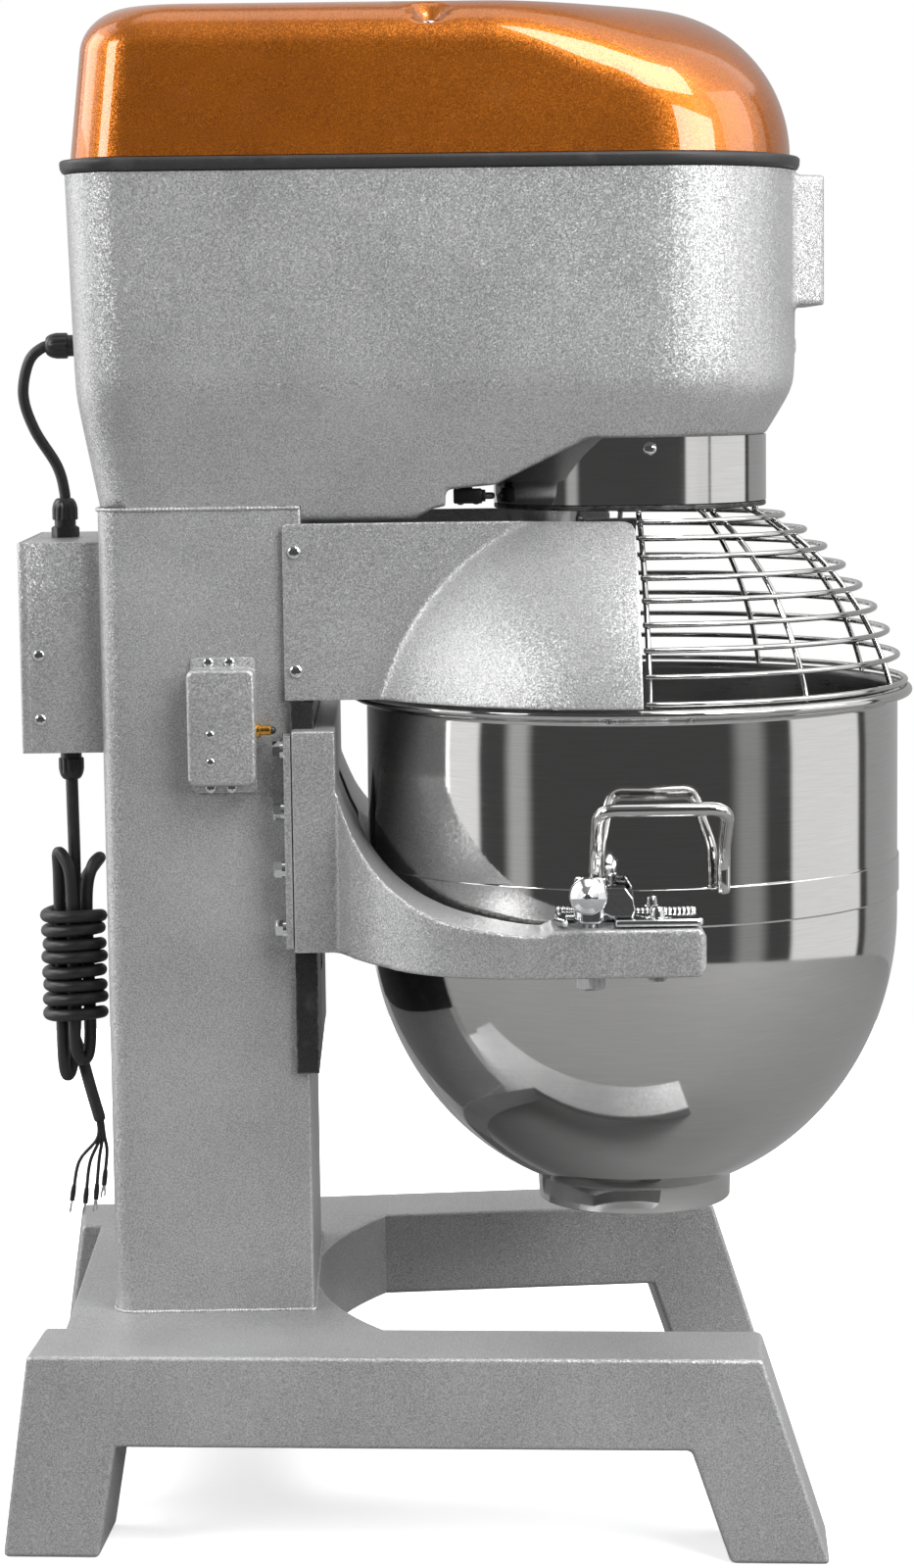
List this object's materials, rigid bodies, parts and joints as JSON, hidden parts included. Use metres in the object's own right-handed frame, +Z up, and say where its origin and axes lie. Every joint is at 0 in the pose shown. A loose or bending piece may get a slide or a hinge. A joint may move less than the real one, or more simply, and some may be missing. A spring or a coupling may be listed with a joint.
{
  "type": "commercial stand mixer",
  "caption": "Floor-standing planetary mixer: copper-topped cast head on a box column and splayed stand, lifting steel bowl in a yoke, swinging wire guard, dough hook.",
  "frame": {"origin": "on the floor, under the middle of the bounding box", "axes": "+X towards the front (bowl side), +Y towards the operator side with the controls, +Z up"},
  "size_m": [0.798, 0.647, 1.2893],
  "materials": {
    "silver_paint": "fine hammered silver paint",
    "copper_paint": "copper metal-flake paint under clear coat",
    "stainless": "polished stainless steel",
    "steel": "machined steel",
    "chrome": "chrome plated",
    "rubber": "black rubber",
    "black_steel": "black painted steel",
    "black_plastic": "matte black plastic",
    "brass": "turned brass",
    "bronze": "bearing bronze",
    "cast_iron": "painted cast iron",
    "green_plastic": "gloss green plastic",
    "red_plastic": "gloss red plastic"
  },
  "bodies": {
    "stand": {"base_frame": "silver_paint", "column": "silver_paint", "slide_way": "black_steel", "head_housing": "silver_paint", "head_gasket": "rubber", "top_cover": "copper_paint", "front_plug": "silver_paint", "motor_housing": "cast_iron", "drive_belt": "rubber", "ring_gear": "steel", "drip_skirt": "stainless", "left_shield": "silver_paint", "right_shield": "silver_paint", "electrical_box": "silver_paint", "electrical_box_lid": "silver_paint", "head_gland": "black_plastic", "box_top_gland": "black_plastic", "box_bottom_gland": "black_plastic", "link_cable": "rubber", "power_cord": "rubber", "limit_switch_box": "silver_paint", "guard_switch": "black_plastic", "control_box": "silver_paint", "gearbox_plate": "steel", "main_bearing": "steel", "screw_support": "steel"},
    "motor_spindle": {"motor_rotor": "steel", "motor_pulley": "steel"},
    "counter_spindle": {"countershaft": "steel", "driven_pulley": "steel"},
    "planetary": {"main_shaft": "steel", "main_gear": "steel", "planet_carrier": "steel"},
    "agitator": {"planet_pinion": "steel", "agitator_shaft": "stainless", "dough_hook": "stainless"},
    "guard": {"wire_guard": "stainless", "guard_ring": "black_steel"},
    "bowl_lift": {"bowl_yoke": "silver_paint", "left_gib_plate": "steel", "right_gib_plate": "steel", "lift_nut": "bronze", "bowl": "stainless", "left_bowl_handle": "stainless", "right_bowl_handle": "stainless", "left_clamp_post": "steel", "right_clamp_post": "steel"},
    "left_clamp": {"left_clamp_lever": "chrome"},
    "right_clamp": {"right_clamp_lever": "chrome"},
    "screw_spindle": {"lift_screw": "steel"},
    "handwheel_spindle": {"handwheel_shaft": "steel", "handwheel": "black_steel"},
    "handwheel_grip_body": {"handwheel_grip": "black_plastic"},
    "gear_lever": {"gear_shift_lever": "black_steel"},
    "start_push": {"start_button": "green_plastic"},
    "stop_push": {"stop_button": "red_plastic"},
    "limit_plunger_body": {"limit_plunger": "brass"},
    "guard_plunger_body": {"guard_switch_plunger": "steel"}
  },
  "joints": [
    {"name": "handwheel_turn", "type": "hinge", "parent": "stand", "child": "handwheel_spindle", "pos_m": [-0.2, 0.215, 0.79], "axis": [0, 1, 0], "range_deg": [0, 4950]},
    {"name": "grip_spin", "type": "hinge", "parent": "handwheel_spindle", "child": "handwheel_grip_body", "pos_m": [-0.116, 0.215, 0.79], "axis": [0, 1, 0], "continuous": true},
    {"name": "screw_turn", "type": "hinge", "parent": "stand", "child": "screw_spindle", "pos_m": [-0.2, 0, 0.6], "axis": [0, 0, 1], "range_deg": [0, 4950]},
    {"name": "bowl_lift_slide", "type": "slide", "parent": "stand", "child": "bowl_lift", "axis": [0, 0, 1], "range_m": [-0.11, 0]},
    {"name": "guard_swing", "type": "hinge", "parent": "stand", "child": "guard", "pos_m": [0.15, 0, 0.86], "axis": [0, 0, 1], "range_deg": [-95, 0]},
    {"name": "planet_spin", "type": "hinge", "parent": "stand", "child": "planetary", "pos_m": [0.15, 0, 0.9], "axis": [0, 0, 1], "continuous": true},
    {"name": "agitator_spin", "type": "hinge", "parent": "planetary", "child": "agitator", "pos_m": [0.072, 0, 0.9], "axis": [0, 0, 1], "continuous": true},
    {"name": "counter_spin", "type": "hinge", "parent": "stand", "child": "counter_spindle", "pos_m": [0.04, 0, 1], "axis": [0, 0, 1], "continuous": true},
    {"name": "motor_spin", "type": "hinge", "parent": "stand", "child": "motor_spindle", "pos_m": [-0.22, 0, 1], "axis": [0, 0, 1], "continuous": true},
    {"name": "left_clamp_swing", "type": "hinge", "parent": "bowl_lift", "child": "left_clamp", "pos_m": [0.098, -0.268, 0.55], "axis": [0, 0, 1], "range_deg": [-95, 0]},
    {"name": "right_clamp_swing", "type": "hinge", "parent": "bowl_lift", "child": "right_clamp", "pos_m": [0.098, 0.268, 0.55], "axis": [0, 0, 1], "range_deg": [0, 95]},
    {"name": "gear_shift", "type": "hinge", "parent": "stand", "child": "gear_lever", "pos_m": [0.01, 0.17, 1.03], "axis": [0, 1, 0], "range_deg": [-25, 25]},
    {"name": "start_press", "type": "slide", "parent": "stand", "child": "start_push", "axis": [0, 1, 0], "range_m": [-0.004, 0]},
    {"name": "stop_press", "type": "slide", "parent": "stand", "child": "stop_push", "axis": [0, 1, 0], "range_m": [-0.004, 0]},
    {"name": "limit_plunger_press", "type": "slide", "parent": "stand", "child": "limit_plunger_body", "axis": [1, 0, 0], "range_m": [-0.004, 0]},
    {"name": "guard_plunger_press", "type": "slide", "parent": "stand", "child": "guard_plunger_body", "axis": [1, 0, 0], "range_m": [-0.003, 0]}
  ],
  "couplings": [
    {"joint": "screw_turn", "follows": "handwheel_turn", "ratio": 1},
    {"joint": "bowl_lift_slide", "follows": "handwheel_turn", "m_per_rad": -0.0012732},
    {"joint": "agitator_spin", "follows": "planet_spin", "ratio": -4},
    {"joint": "counter_spin", "follows": "planet_spin", "ratio": -2.6667},
    {"joint": "motor_spin", "follows": "planet_spin", "ratio": -6.6667}
  ]
}
